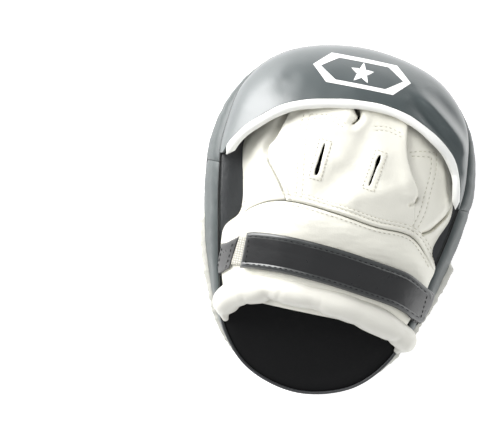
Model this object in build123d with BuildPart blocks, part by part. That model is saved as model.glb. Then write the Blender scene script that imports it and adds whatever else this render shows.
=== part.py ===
"""Curved boxing focus mitt, lying on its strike face with the hand side up.

Millimetres. X runs across the hand, +Y points to the fingertips, +Z out of the back of the hand.
The pad is bent about an axis along X, so every layer of it lies between two radii of one arch.
"""

import os

from build123d import *
from math import asin, cos, degrees, sin, sqrt

# ---- Pad: arch and layers -------------------------------------------------------------------
ARCH_RADIUS = 400.0  # hollow strike face
REST_CHORD_Y = 113.0  # the strike face meets the table here, at each end
ARCH_DROP = sqrt(ARCH_RADIUS**2 - REST_CHORD_Y**2)  # the arch axis lies this far below the table
COVER_THICKNESS = 1.5  # sewn leather-look cover
LAYER_GAP = 0.2  # glue line between layers
STRIKE_FOAM_TOP = 413.0
CORE_FOAM_TOP = 428.0
BACK_RADIUS = 440.0  # outer face of the back panel
BACKING_FOAM_TOP = BACK_RADIUS - COVER_THICKNESS - LAYER_GAP
COVER_RIM_TOP = 412.0  # the strike cover is turned up to here
BINDING_TOP = 419.0  # white band round the wrist end
BINDING_END_Y = -13.0  # the band stops here
GUSSET_SEAM_Y = 26.0  # the two lengths of side gusset meet here
TABLE_Z = 0.0

# Half outlines of the pad, fingertip to heel: at the table, and at PAD_TOP_Z above the back.
PAD_TOP_Z = 60.0
LOW_OUTLINE = [
    (0, 122), (56, 110), (90, 77), (105, 40), (104, 6), (97, -26), (83, -58), (62, -92), (34, -114), (0, -122)
]
HIGH_OUTLINE = [
    (0, 142), (54, 128), (85, 93), (94, 50), (91, 14), (84, -22), (76, -58), (64, -98), (40, -129), (0, -142)
]
PAD_HALF_WIDTH = 100.0
PAD_HALF_LENGTH = 135.0

TARGET_RADIUS = 28.5
TARGET_Y = 27.0
TARGET_THICKNESS = 0.4
EDGE_PIPING = (2.6, 1.6)  # width and height of the cord along the back edge of the wrist end
EDGE_PIPING_END_Y = -76.0

# ---- Hand pocket: y, left and right half widths, and height of the leather over the hand --------
POCKET_STATIONS = [(-70, 68, 70, 34), (-24, 77, 80, 42), (8, 71, 82, 45), (42, 76, 84, 44), (93, 65, 67, 30)]
LEATHER = 2.0  # white leather with its lining
POCKET_FLOOR = 0.6  # the leather starts this far above the back panel
SEAM = 0.3  # clearance between neighbouring sewn panels

CUFF_SEAM = [
    (-95, -34), (-79, -24), (-60, -3), (-36, 6), (0, 4), (30, 0), (60, -2), (84, -24), (95, -34)
]
THUMB_EDGE = [(-46, 99), (-48, 68), (-57, 40), (-51, 23), (-36, 6)]
FOLD_EDGE = [(38, 99), (41, 78), (48, 48), (57, 26), (60, -2)]
FINGER_GAP = [(-7, 94), (5, 94), (3, 74), (0, 69)]  # dark notch between two fingers

VENTS = [(-18, 40, -4.5), (22, 40, -9.0)]  # centre x, centre y, lean in degrees
VENT_SLOT = (2.2, 23.0)
VENT_PATCH = (10.0, 31.0)

# ---- Finger hood --------------------------------------------------------------------------------
HOOD_CENTRE_Y = 35.0
HOOD_HALF_WIDTH = 94.5
HOOD_HALF_LENGTH = 100.8
HOOD_HEIGHT = 47.0
HOOD_TILT = -11.0
HOOD_WALL = 2.4
HOOD_EDGE = [
    (-112, 12), (-92, 35), (-72, 60), (-45, 79), (0, 89), (36, 87), (69, 71), (93, 35), (112, 8)
]
PIPING_WIDTH = 8.0
PIPING_PROUD = 1.2

# ---- Wrist roll and strap -----------------------------------------------------------------------
ROLL_RADIUS = 10.5
ROLL_SKIN = 1.5
ROLL_END = (69.0, -77.0, 12.6)  # x, y, height above the back panel
ROLL_CROWN = (0.0, -59.0, 33.0)

STRAP_LEFT_X = -60.0
STRAP_TIP_X = 58.0  # the free end peels from here
STRAP_END_X = 84.0
STRAP_LINE = [(-88, -46), (-62, -36), (-34, -32.5), (0, -33.5), (32, -37), (64, -42), (96, -51)]
STRAP_WIDTH = 27.0
STRAP_FLARE = 4.0  # the free end stands this much proud of the cuff
TAPE_WIDTH = 22.0
LOOP_LIFT = (0.3, 1.5)  # each pair is the inner and outer lift off the cuff leather
HOOK_LIFT = (1.9, 3.1)
STRAP_LIFT = (3.1, 5.1)
TAB_LIFT = (0.3, 2.3)
HOOK_START_X = 30.0
TAB_X = (-79.0, -65.0)
ELASTIC_X = (-64.5, -54.0)
ELASTIC_LIFT = (0.3, 1.5)

# ---- Fingers and palm ---------------------------------------------------------------------------
STALL_CENTRES = [-33.0, -11.0, 11.0, 33.0]
STALL_NAMES = ["index", "middle", "ring", "little"]
STALL_Y = (80.0, 103.0)
STALL_SIZE = (20.5, 16.5)
STALL_WALL = 1.4
PALM_BALL = (27.0, 34.0, 10.0)
PALM_Y = 12.0
LINING = 1.0
LINING_X = 46.0
LINING_Y = (-64.0, 80.0)

REACH = 130.0  # half width of every construction block
SKY = 160.0


def back_z(y, lift=0.0):
    """Height of the back panel's outer face at y, or of a surface lifted above it."""
    return sqrt((BACK_RADIUS + lift) ** 2 - y**2) - ARCH_DROP


def arch_plane(y, lift=0.0):
    """Plane square to the arch at y: local X is X, local Y points away from the pad."""
    angle = asin(y / BACK_RADIUS)
    return Plane(
        origin=(0, y, back_z(y, lift)), x_dir=(1, 0, 0), z_dir=(0, -cos(angle), sin(angle))
    )


def save(builder, name):
    """Labels a finished piece and writes its STEP file."""
    builder.part.label = name
    export_step(builder.part, f"parts/{name}.step")


def outline(points, inset):
    """Closed smooth outline through the half points and their mirror images, drawn in by inset."""
    across = 1 - inset / PAD_HALF_WIDTH
    along = 1 - inset / PAD_HALF_LENGTH
    right = [(x * across, y * along) for x, y in points]
    left = [(-x, y) for x, y in right[-2:0:-1]]
    with BuildSketch() as face:
        with BuildLine():
            Spline(*right, *left, periodic=True)
        make_face()
    return face.sketch


def pad_block(inset, low, high):
    """The part of the pad between two radii of the arch, its sides drawn in by inset."""
    with BuildPart() as block:
        with BuildSketch():
            add(outline(LOW_OUTLINE, inset))
        with BuildSketch(Plane.XY.offset(PAD_TOP_Z)):
            add(outline(HIGH_OUTLINE, inset))
        loft(ruled=True)
        with BuildSketch(Plane.YZ):
            with Locations((0, -ARCH_DROP)):
                Circle(high)
                Circle(low, mode=Mode.SUBTRACT)
        extrude(amount=REACH, both=True, mode=Mode.INTERSECT)
        floor_z = TABLE_Z + inset if inset > 0 else TABLE_Z
        with BuildSketch(Plane.XY.offset(floor_z)):
            Rectangle(2 * REACH, 2 * SKY)
        extrude(amount=SKY, mode=Mode.INTERSECT)
    return block.part


def column(face):
    """Tall prism over a plan-view face, for cutting panels out of shells."""
    with BuildPart() as block:
        with BuildSketch():
            add(face)
        extrude(amount=SKY)
    return block.part


def slab_y(low_y, high_y):
    """Everything between two values of y."""
    with BuildSketch() as face:
        with Locations((0, (low_y + high_y) / 2)):
            Rectangle(2 * REACH, high_y - low_y)
    return column(face.sketch)


def pocket_form(lift, overrun=0.0, flare=0.0):
    """Solid hump over the hand pocket, grown by lift. It runs past both ends by overrun."""
    last = len(POCKET_STATIONS) - 1
    with BuildPart() as form:
        for index, (y, left, right, height) in enumerate(POCKET_STATIONS):
            shift = {0: -overrun, last: overrun}.get(index, 0.0)
            start = (-left - lift, POCKET_FLOOR)
            stop = (right + lift + flare, POCKET_FLOOR)
            with BuildSketch(arch_plane(y + shift)):
                with BuildLine():
                    ThreePointArc(start, (0, height + lift), stop)
                    Line(stop, start)
                make_face()
        loft()
    return form.part


def pocket_shell(inner_lift, outer_lift, flare=0.0):
    """Thin layer over the hand pocket between two lifts off the leather's outer face."""
    with BuildPart() as shell:
        add(pocket_form(outer_lift, flare=flare))
        with BuildSketch(Plane.YZ):
            with Locations((0, -ARCH_DROP)):
                Circle(BACK_RADIUS + POCKET_FLOOR + 0.2)
        extrude(amount=REACH, both=True, mode=Mode.SUBTRACT)
        add(pocket_form(inner_lift, overrun=4.0, flare=flare), mode=Mode.SUBTRACT)
    return shell.part


def face_beside(edge, far_x, grow=0.0):
    """Plan-view face between a sewn edge that runs down the mitt and the line x = far_x."""
    points = [(x + grow, y) for x, y in edge]
    top, bottom = points[0], points[-1]
    with BuildSketch() as face:
        with BuildLine():
            Spline(*points)
            Polyline(bottom, (bottom[0], -SKY), (far_x, -SKY), (far_x, SKY), (top[0], SKY), top)
        make_face()
    return face.sketch


def face_beyond(edge, far_y, grow=0.0):
    """Plan-view face between a sewn edge that runs across the mitt and the line y = far_y."""
    points = [(x, y + grow) for x, y in edge]
    first, last = points[0], points[-1]
    with BuildSketch() as face:
        with BuildLine():
            Spline(*points)
            Polyline(last, (last[0], far_y), (first[0], far_y), first)
        make_face()
    return face.sketch


def hood_form(lift, edge_shift=0.0):
    """Dome of the finger hood grown by lift, cut back to its front edge moved by edge_shift."""
    with BuildPart() as dome:
        Sphere(1.0)
        scale(by=(HOOD_HALF_WIDTH + lift, HOOD_HALF_LENGTH + lift, HOOD_HEIGHT + lift))
    placed = Pos(0, HOOD_CENTRE_Y, back_z(HOOD_CENTRE_Y)) * Rot(HOOD_TILT, 0, 0) * dome.part
    with BuildPart() as form:
        add(placed)
        with BuildSketch(Plane.YZ):
            with Locations((0, -ARCH_DROP)):
                Circle(BACK_RADIUS + POCKET_FLOOR)
        extrude(amount=REACH, both=True, mode=Mode.SUBTRACT)
        add(column(face_beyond(HOOD_EDGE, SKY, grow=edge_shift)), mode=Mode.INTERSECT)
    return form.part


def tilted_rectangle(centre, size, lean):
    with BuildSketch() as face:
        with Locations(Location((centre[0], centre[1], 0), (0, 0, lean))):
            Rectangle(*size)
    return face.sketch


def strap_face(low_x, high_x, width):
    """Plan-view face of a stretch of the curved strap between two x values."""
    with BuildSketch() as face:
        with BuildLine():
            Spline(*STRAP_LINE)
        trace(line_width=width)
        with Locations(((low_x + high_x) / 2, 0)):
            Rectangle(high_x - low_x, 2 * SKY, mode=Mode.INTERSECT)
    return face.sketch


def cut_layer(name, lifts, face, flare=0.0):
    """A piece of a layer over the pocket, inside one plan-view face."""
    with BuildPart() as piece:
        add(pocket_shell(*lifts, flare=flare))
        add(column(face), mode=Mode.INTERSECT)
    save(piece, name)
    return piece.part


os.makedirs("parts", exist_ok=True)

# ==== Pad ========================================================================================
with BuildPart() as strike_cover:
    add(pad_block(0, ARCH_RADIUS, COVER_RIM_TOP))
    add(pad_block(COVER_THICKNESS, ARCH_RADIUS + COVER_THICKNESS, STRIKE_FOAM_TOP), mode=Mode.SUBTRACT)
save(strike_cover, "strike_cover")

with BuildSketch() as target_face:
    with Locations((0, TARGET_Y)):
        Circle(TARGET_RADIUS)
with BuildPart() as target_disc:
    add(pad_block(COVER_THICKNESS, ARCH_RADIUS - TARGET_THICKNESS, ARCH_RADIUS))
    add(column(target_face.sketch), mode=Mode.INTERSECT)
save(target_disc, "target_disc")

foam_inset = COVER_THICKNESS + LAYER_GAP
for foam_name, low, high in [
    ("strike_foam", ARCH_RADIUS + foam_inset, STRIKE_FOAM_TOP),
    ("core_foam", STRIKE_FOAM_TOP + LAYER_GAP, CORE_FOAM_TOP),
    ("backing_foam", CORE_FOAM_TOP + LAYER_GAP, BACKING_FOAM_TOP),
]:
    with BuildPart() as foam:
        add(pad_block(foam_inset, low, high))
    save(foam, foam_name)


def gusset_ring(low, high, low_y, high_y):
    """Length of side wall between two radii and two y values."""
    with BuildPart() as ring:
        add(pad_block(0, low, high))
        add(pad_block(COVER_THICKNESS, low - 1, high + 1), mode=Mode.SUBTRACT)
        add(slab_y(low_y, high_y), mode=Mode.INTERSECT)
    return ring.part


gusset_low = COVER_RIM_TOP + LAYER_GAP
with BuildPart() as finger_gusset:
    add(gusset_ring(gusset_low, BACK_RADIUS, GUSSET_SEAM_Y + LAYER_GAP, SKY))
save(finger_gusset, "finger_end_gusset")

with BuildPart() as wrist_gusset:
    add(gusset_ring(BINDING_TOP + LAYER_GAP, BACK_RADIUS, -SKY, GUSSET_SEAM_Y))
    add(gusset_ring(gusset_low, BINDING_TOP + LAYER_GAP, BINDING_END_Y + LAYER_GAP, GUSSET_SEAM_Y))
save(wrist_gusset, "wrist_end_gusset")

with BuildPart() as binding:
    add(gusset_ring(gusset_low, BINDING_TOP, -SKY, BINDING_END_Y))
save(binding, "white_side_band")

with BuildPart() as back_panel:
    add(pad_block(foam_inset, BACK_RADIUS - COVER_THICKNESS, BACK_RADIUS))
save(back_panel, "back_panel")

cord_width, cord_height = EDGE_PIPING
with BuildPart() as edge_piping:
    add(pad_block(0, BACK_RADIUS, BACK_RADIUS + cord_height))
    add(pad_block(cord_width, BACK_RADIUS - 1, BACK_RADIUS + 2 * cord_height), mode=Mode.SUBTRACT)
    add(slab_y(-SKY, EDGE_PIPING_END_Y), mode=Mode.INTERSECT)
save(edge_piping, "wrist_edge_piping")

# ==== Palm and fingers ===========================================================================
with BuildPart() as ball_blank:
    Sphere(1.0)
    scale(by=PALM_BALL)
with BuildPart() as ball_blank_outer:
    Sphere(1.0)
    scale(by=tuple(size + LINING for size in PALM_BALL))
palm_place = Pos(0, PALM_Y, back_z(PALM_Y) - 1) * Rot(-degrees(asin(PALM_Y / BACK_RADIUS)), 0, 0)


def above_back(lift):
    """Everything beyond the back panel's outer face lifted by lift."""
    with BuildPart() as space:
        with BuildSketch(Plane.YZ):
            Rectangle(2 * SKY, 2 * SKY)
            with Locations((0, -ARCH_DROP)):
                Circle(BACK_RADIUS + lift, mode=Mode.SUBTRACT)
        extrude(amount=REACH, both=True)
    return space.part


with BuildPart() as palm_ball:
    add(palm_place * ball_blank.part)
    add(above_back(LAYER_GAP), mode=Mode.INTERSECT)
save(palm_ball, "palm_ball")

with BuildPart() as palm_lining:
    with BuildSketch(Plane.YZ):
        with Locations((0, -ARCH_DROP)):
            Circle(BACK_RADIUS + LAYER_GAP + LINING)
            Circle(BACK_RADIUS + LAYER_GAP, mode=Mode.SUBTRACT)
    extrude(amount=LINING_X, both=True)
    add(slab_y(*LINING_Y), mode=Mode.INTERSECT)
    add(palm_place * ball_blank_outer.part & above_back(LAYER_GAP))
    add(palm_place * ball_blank.part, mode=Mode.SUBTRACT)
save(palm_lining, "palm_lining")

stall_low = LINING + 2 * LAYER_GAP
for name, centre_x in zip(STALL_NAMES, STALL_CENTRES):
    width, height = STALL_SIZE
    with BuildPart() as stall:
        with BuildSketch(arch_plane(STALL_Y[0], stall_low)):
            with Locations((centre_x, height / 2)):
                Ellipse(width / 2, height / 2)
                Ellipse(width / 2 - STALL_WALL, height / 2 - STALL_WALL, mode=Mode.SUBTRACT)
        extrude(amount=-(STALL_Y[1] - STALL_Y[0]))
    save(stall, f"{name}_finger_stall")

# ==== Hand pocket ================================================================================
leather_shell = (-LEATHER, 0.0)

with BuildSketch() as vent_slots:
    for vent_x, vent_y, lean in VENTS:
        add(tilted_rectangle((vent_x, vent_y), VENT_SLOT, lean))
    with BuildLine():
        Polyline(*FINGER_GAP, close=True)
    make_face()

roll_end_x, roll_end_y, roll_end_lift = ROLL_END
roll_start = (-roll_end_x, roll_end_y, back_z(roll_end_y, roll_end_lift))
roll_crown = (ROLL_CROWN[0], ROLL_CROWN[1], back_z(ROLL_CROWN[1], ROLL_CROWN[2]))
roll_stop = (roll_end_x, roll_end_y, back_z(roll_end_y, roll_end_lift))


def roll_form(radius):
    """Round roll along an arc over the wrist, with rounded ends."""
    with BuildPart() as roll:
        with BuildLine():
            path = ThreePointArc(roll_start, roll_crown, roll_stop)
        with BuildSketch(Plane(origin=path @ 0, z_dir=path % 0)):
            Circle(radius)
        sweep(path=path)
        with Locations(roll_start, roll_stop):
            Sphere(radius)
    return roll.part


cuff_face = face_beyond(CUFF_SEAM, -SKY, grow=-SEAM)
above_cuff = face_beyond(CUFF_SEAM, SKY, grow=SEAM)

with BuildPart() as cuff:
    add(pocket_shell(*leather_shell))
    add(column(cuff_face), mode=Mode.INTERSECT)
    add(roll_form(ROLL_RADIUS + SEAM), mode=Mode.SUBTRACT)
    cuff_keep = cuff.solids().sort_by(SortBy.VOLUME)[-1]
with BuildPart() as wrist_cuff:
    add(cuff_keep)
save(wrist_cuff, "wrist_cuff")

with BuildPart() as hand_panel:
    add(pocket_shell(*leather_shell))
    add(column(above_cuff), mode=Mode.INTERSECT)
    add(column(face_beside(THUMB_EDGE, -REACH, grow=SEAM)), mode=Mode.SUBTRACT)
    add(column(face_beside(FOLD_EDGE, REACH, grow=-SEAM)), mode=Mode.SUBTRACT)
    add(column(vent_slots.sketch), mode=Mode.SUBTRACT)
save(hand_panel, "hand_back_panel")

with BuildPart() as thumb_panel:
    add(pocket_shell(*leather_shell))
    add(column(above_cuff), mode=Mode.INTERSECT)
    add(column(face_beside(THUMB_EDGE, -REACH, grow=-SEAM)), mode=Mode.INTERSECT)
save(thumb_panel, "thumb_panel")

with BuildPart() as side_panel:
    add(pocket_shell(*leather_shell))
    add(column(above_cuff), mode=Mode.INTERSECT)
    add(column(face_beside(FOLD_EDGE, REACH, grow=SEAM)), mode=Mode.INTERSECT)
save(side_panel, "little_finger_panel")

for side, (vent_x, vent_y, lean) in zip(("left", "right"), VENTS):
    with BuildSketch() as patch_face:
        add(tilted_rectangle((vent_x, vent_y), VENT_PATCH, lean))
        add(tilted_rectangle((vent_x, vent_y), VENT_SLOT, lean), mode=Mode.SUBTRACT)
    cut_layer(f"{side}_vent_patch", (0.2, 1.2), patch_face.sketch)

with BuildPart() as wrist_roll:
    add(roll_form(ROLL_RADIUS))
    add(roll_form(ROLL_RADIUS - ROLL_SKIN), mode=Mode.SUBTRACT)
save(wrist_roll, "wrist_roll_cover")

with BuildPart() as roll_core:
    add(roll_form(ROLL_RADIUS - ROLL_SKIN - LAYER_GAP))
save(roll_core, "wrist_roll_foam")

# ==== Finger hood ================================================================================
with BuildPart() as finger_hood:
    add(hood_form(0))
    add(hood_form(-HOOD_WALL, edge_shift=-5), mode=Mode.SUBTRACT)
save(finger_hood, "finger_hood")

with BuildPart() as hood_piping:
    add(hood_form(PIPING_PROUD, edge_shift=-PIPING_WIDTH))
    add(column(face_beyond(HOOD_EDGE, SKY, grow=-LAYER_GAP)), mode=Mode.SUBTRACT)
    add(hood_form(-HOOD_WALL, edge_shift=-2 * PIPING_WIDTH), mode=Mode.SUBTRACT)
save(hood_piping, "hood_piping")

# ==== Wrist strap ================================================================================
cut_layer("strap_anchor_tab", TAB_LIFT, strap_face(*TAB_X, STRAP_WIDTH))
cut_layer("strap_elastic", ELASTIC_LIFT, strap_face(*ELASTIC_X, STRAP_WIDTH - 3))
cut_layer("loop_tape", LOOP_LIFT, strap_face(HOOK_START_X - 8, STRAP_END_X - 4, TAPE_WIDTH))
cut_layer("strap", STRAP_LIFT, strap_face(STRAP_LEFT_X, STRAP_TIP_X, STRAP_WIDTH), STRAP_FLARE)
hook_body = strap_face(HOOK_START_X, STRAP_TIP_X, TAPE_WIDTH)
cut_layer("hook_tape", HOOK_LIFT, hook_body, STRAP_FLARE)
tip_body = strap_face(STRAP_TIP_X + SEAM, STRAP_END_X, STRAP_WIDTH)
cut_layer("strap_tip", STRAP_LIFT, tip_body, STRAP_FLARE)
hook_tip = strap_face(STRAP_TIP_X + SEAM, STRAP_END_X - 2, TAPE_WIDTH)
cut_layer("tip_hook_tape", HOOK_LIFT, hook_tip, STRAP_FLARE)
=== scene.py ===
"""Dresses the CAD frame of a curved boxing focus mitt in sewn leather, foam and webbing.

Shapes are worked out in millimetres and placed in metres. +X is the strap's free end, +Y the
fingertips and +Z the back of the hand; the mitt lies on its strike face.
"""

import math

import bmesh
import bpy
from mathutils import Matrix, Vector, kdtree, noise


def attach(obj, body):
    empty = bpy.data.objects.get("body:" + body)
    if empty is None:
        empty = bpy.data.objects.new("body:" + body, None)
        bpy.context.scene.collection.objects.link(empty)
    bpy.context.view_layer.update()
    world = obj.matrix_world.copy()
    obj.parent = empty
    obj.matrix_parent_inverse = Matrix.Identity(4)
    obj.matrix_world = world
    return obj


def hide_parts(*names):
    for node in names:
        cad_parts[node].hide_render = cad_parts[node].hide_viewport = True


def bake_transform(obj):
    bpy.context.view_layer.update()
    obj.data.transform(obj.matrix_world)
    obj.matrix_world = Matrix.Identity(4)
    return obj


bl_info = {
    "name": "Focus Mitt",
    "version": (1, 0, 0),
    "blender": (4, 5, 0),
    "location": "View3D > Sidebar > Mitt",
    "description": "Builds the sewn pieces of a curved boxing focus mitt over its CAD frame",
    "category": "Object",
}

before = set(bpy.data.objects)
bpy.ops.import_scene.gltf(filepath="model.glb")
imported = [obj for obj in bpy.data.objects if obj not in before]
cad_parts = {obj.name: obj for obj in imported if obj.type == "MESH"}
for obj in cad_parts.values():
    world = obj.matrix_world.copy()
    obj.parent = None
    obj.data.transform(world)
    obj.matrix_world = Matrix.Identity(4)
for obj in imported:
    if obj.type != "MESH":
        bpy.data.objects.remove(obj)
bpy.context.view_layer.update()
MM = 0.001

# ---- Pad ------------------------------------------------------------------------------------
STRIKE_RADIUS = 400.0
ARCH_HALF_SPAN = 113.0
ARCH_DROP = math.sqrt(STRIKE_RADIUS**2 - ARCH_HALF_SPAN**2)
RIM_RADIUS = 412.0
BAND_RADIUS = 419.0
BACK_RADIUS = 440.0
PAD_TOP_Z = 60.0
HALF_WIDTH = 100
HALF_LENGTH = 135
WALL_SWELL = 3.0
RIM_ROUNDING = 8.0
FLANK_INSET = 3.0
FOAM_INSET = 2.4
FOAM_FLOOR_Z = 1.8
LOW_OUTLINE = [
    (0, 122), (56, 110), (90, 77), (105, 40), (104, 6), (97, -26), (83, -58), (62, -92), (34, -114), (0, -122)
]
HIGH_OUTLINE = [
    (0, 142), (54, 128), (85, 93), (94, 50), (91, 14), (84, -22), (76, -58), (64, -98), (40, -129), (0, -142)
]
GUSSET_SEAM_Y = 26.0
BAND_END_Y = -13.0
EDGE_CORD_Y = -70.0
# Where the back panel's lighter painted sheen starts, towards the fingers.
PAINTED_SHEEN_FROM_Y = -55.0
TARGET_CENTRE = (0.0, 27.0)

# ---- Glove ----------------------------------------------------------------------------------
# Each station of the hand pocket: y, reach towards -X, reach towards +X, height.
POCKET_STATIONS = [
    (-100, 58, 60, 22), (-85, 64, 64, 28), (-70, 69, 70, 34), (-50, 75, 77, 38), (-30, 78.5, 81.5, 41),
    (-20, 77.5, 83, 42.5), (-10, 69.5, 78.5, 43.5), (0, 68.5, 80, 44.5), (17, 71.5, 86.5, 45),
    (32, 75, 86.5, 44.5), (45, 76.5, 84, 43.5), (70, 73, 76, 38), (93, 65, 67, 30), (120, 50, 52, 18),
]
POCKET_TOP_Y = 97.0
CUFF_SEAM = [
    (-95, -34), (-79, -24), (-60, -3), (-36, 6), (0, 4), (30, 0), (60, -2), (84, -24), (95, -34)
]
THUMB_EDGE = [(-46, 99), (-47.5, 72), (-52.5, 51), (-56.5, 43), (-55, 34), (-49, 26), (-41, 15.5), (-36, 6)]
FOLD_EDGE = [(38, 99), (40, 78), (43, 58), (49, 44), (56.5, 32), (56, 23), (57.5, 12), (60, -2)]
VENTS = [("left", -18.0, 40.0, -4.5), ("right", 22.0, 40.0, -9.0)]
HOOD_EDGE = [(-90, 33), (-84, 46), (-72, 60), (-45, 79), (0, 89), (36, 87), (69, 71), (85, 53), (91.5, 26)]
HOOD_CENTRE = (0.0, 35.0)
HOOD_HEIGHT = 44.0
BADGE_CENTRE = (0.0, 110.5)
STRAP_LINE = [(-88, -46), (-62, -36), (-34, -32.5), (0, -33.5), (32, -37), (64, -42), (96, -51)]
STRAP_LEFT_X = -60.0
STRAP_RIGHT_X = 87.0
STRAP_TIP_X = 58.0
STRAP_FLARE = 4.0


# ---- Curves ---------------------------------------------------------------------------------
def on_spline(points, where, closed):
    """Point at a running index along the smooth curve through a few points."""
    count = len(points)
    start = min(int(math.floor(where)), count - 1 if closed else count - 2)
    part = where - start
    picks = []
    for step in (-1, 0, 1, 2):
        index = (start + step) % count if closed else min(max(start + step, 0), count - 1)
        picks.append(Vector(points[index]))
    before, near, far, after = picks
    return 0.5 * (
        2 * near
        + (far - before) * part
        + (2 * before - 5 * near + 4 * far - after) * part**2
        + (3 * near - before - 3 * far + after) * part**3
    )


SPAN_STEPS = 20


def evenly(points, steps):
    """Evenly spaced points along the smooth curve through a few points, both ends included."""
    dense = [on_spline(points, k / SPAN_STEPS, False) for k in range((len(points) - 1) * SPAN_STEPS)]
    dense.append(Vector(points[-1]))
    lengths = [0.0]
    for near, far in zip(dense, dense[1:]):
        lengths.append(lengths[-1] + (far - near).length)
    found = []
    span = 0
    for step in range(steps + 1):
        goal = lengths[-1] * step / steps
        while span < len(lengths) - 2 and lengths[span + 1] < goal:
            span += 1
        gap = lengths[span + 1] - lengths[span]
        found.append(dense[span].lerp(dense[span + 1], (goal - lengths[span]) / gap if gap else 0))
    return found


def distance_to(points):
    """A function giving the plan distance from a point to a smooth curve."""
    length = sum((Vector(b) - Vector(a)).length for a, b in zip(points, points[1:]))
    samples = evenly(points, max(8, int(length / 0.5)))
    tree = kdtree.KDTree(len(samples))
    for index, sample in enumerate(samples):
        tree.insert((sample.x, sample.y, 0.0), index)
    tree.balance()
    return lambda x, y: tree.find((x, y, 0.0))[2]


def bump(distance, width):
    """1 at no distance, falling smoothly to nothing over about twice the width."""
    return math.exp(-((distance / width) ** 2))


def ease(value):
    """A smooth step from 0 to 1 as the value goes from 0 to 1."""
    value = min(max(value, 0.0), 1.0)
    return value * value * (3 - 2 * value)


def table_of(points):
    """A function y(x) through points listed by rising x."""

    def find(x):
        for (x0, y0), (x1, y1) in zip(points, points[1:]):
            if x <= x1:
                return y0 + (y1 - y0) * (x - x0) / (x1 - x0)
        return points[-1][1]

    return find


def rough(x, y, scale, seed=0.0):
    """Smooth random height between about -1 and 1, with bumps about scale apart."""
    return noise.noise(Vector((x / scale, y / scale, seed)))


# ---- Pad surfaces ---------------------------------------------------------------------------
def mirrored(points):
    """The whole outline from the half at +X."""
    return points + [(-x, y) for x, y in points[-2:0:-1]]


LOW_RING = mirrored(LOW_OUTLINE)
HIGH_RING = mirrored(HIGH_OUTLINE)
RING_COUNT = len(LOW_RING)


def arch_z(y, radius):
    """Height of an arched layer of the pad; all layers share one centre far below the table."""
    return math.sqrt(radius * radius - y * y) - ARCH_DROP


def back_z(y):
    return arch_z(y, BACK_RADIUS)


def pad_edge(turn, radius, inset=0.0):
    """Point on the pad's side wall: turn runs 0 to 1 from the fingertips round by +X."""
    low = on_spline(LOW_RING, (turn % 1.0) * RING_COUNT, True)
    high = on_spline(HIGH_RING, (turn % 1.0) * RING_COUNT, True)
    low = Vector((low.x * (1 - inset / HALF_WIDTH), low.y * (1 - inset / HALF_LENGTH)))
    high = Vector((high.x * (1 - inset / HALF_WIDTH), high.y * (1 - inset / HALF_LENGTH)))
    rise = high - low
    square = PAD_TOP_Z**2 + rise.y**2
    linear = 2 * (PAD_TOP_Z * ARCH_DROP + low.y * rise.y)
    rest = ARCH_DROP**2 + low.y**2 - radius**2
    share = (-linear + math.sqrt(linear**2 - 4 * square * rest)) / (2 * square)
    share = max(share, 0.0)
    spot = low + rise * share
    return Vector((spot.x, spot.y, PAD_TOP_Z * share))


def outward(edge):
    """Level direction out of the side wall."""
    return Vector((edge.x / HALF_WIDTH, edge.y / HALF_LENGTH, 0)).normalized()


def wall_lean(radius, turn):
    """How far the padded side wall stands out at a height in the pad."""
    low = ease((radius - STRIKE_RADIUS) / 10.0)
    high = 1 - ease((radius - RIM_RADIUS - 2.0) / (BACK_RADIUS - RIM_RADIUS - 2.0))
    return outward(pad_edge(turn, radius)) * (WALL_SWELL * low * high)


def shoulder(turn):
    """How far the sewn back edge sits in from the side wall: most at the flanks, little at both ends."""
    y = pad_edge(turn, BACK_RADIUS).y
    return 0.2 + (FLANK_INSET - 0.2) * ease((108 - y) / 50) * ease((y + 100) / 60)


def turn_at(y, radius):
    """The turn on the +X side where the side wall crosses y; its negative is the -X side's."""
    low, high = 0.0, 0.5
    for _ in range(30):
        middle = (low + high) / 2
        if pad_edge(middle, radius).y > y:
            low = middle
        else:
            high = middle
    return low


# ---- Glove surfaces -------------------------------------------------------------------------
def pocket_size(y):
    """Reach towards -X, reach towards +X and height of the hand pocket at y."""
    ys = [station[0] for station in POCKET_STATIONS]
    y = min(max(y, ys[0]), ys[-1] - 0.001)
    index = max(k for k in range(len(ys)) if ys[k] <= y)
    where = index + (y - ys[index]) / (ys[index + 1] - ys[index])
    return on_spline([station[1:] for station in POCKET_STATIONS], where, False)


near_cuff_seam = distance_to(CUFF_SEAM)
near_thumb_edge = distance_to(THUMB_EDGE)
near_fold = distance_to(FOLD_EDGE)
near_pleat = distance_to([(85.4, 28), (82.9, 20), (78, 13), (72.6, 6.4), (67, 3)])
near_curl = distance_to([(56.5, 27), (55.5, 23.5), (52, 21)])
near_gap = distance_to([(-5, 95), (0, 84), (3.2, 78), (3.4, 75), (0.5, 71)])
near_knuckle_fold = distance_to([(-30, 90), (-37, 78), (-46, 66)])
near_valley = distance_to([(12, 56), (6, 40), (-9, 19)])
near_swell = distance_to([(12, 18), (36, 27), (47, 32)])
near_top_swell = distance_to([(-30, 62), (-14, 66), (-8, 78)])
near_side_fold = distance_to([(72, 62), (77, 44), (82, 30)])
near_strap = distance_to(STRAP_LINE)
cuff_y = table_of([(p.x, p.y) for p in evenly(CUFF_SEAM, 60)])
thumb_x = table_of(sorted((p.y, p.x) for p in evenly(THUMB_EDGE, 60)))
fold_line_x = table_of(sorted((p.y, p.x) for p in evenly(FOLD_EDGE, 60)))
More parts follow.
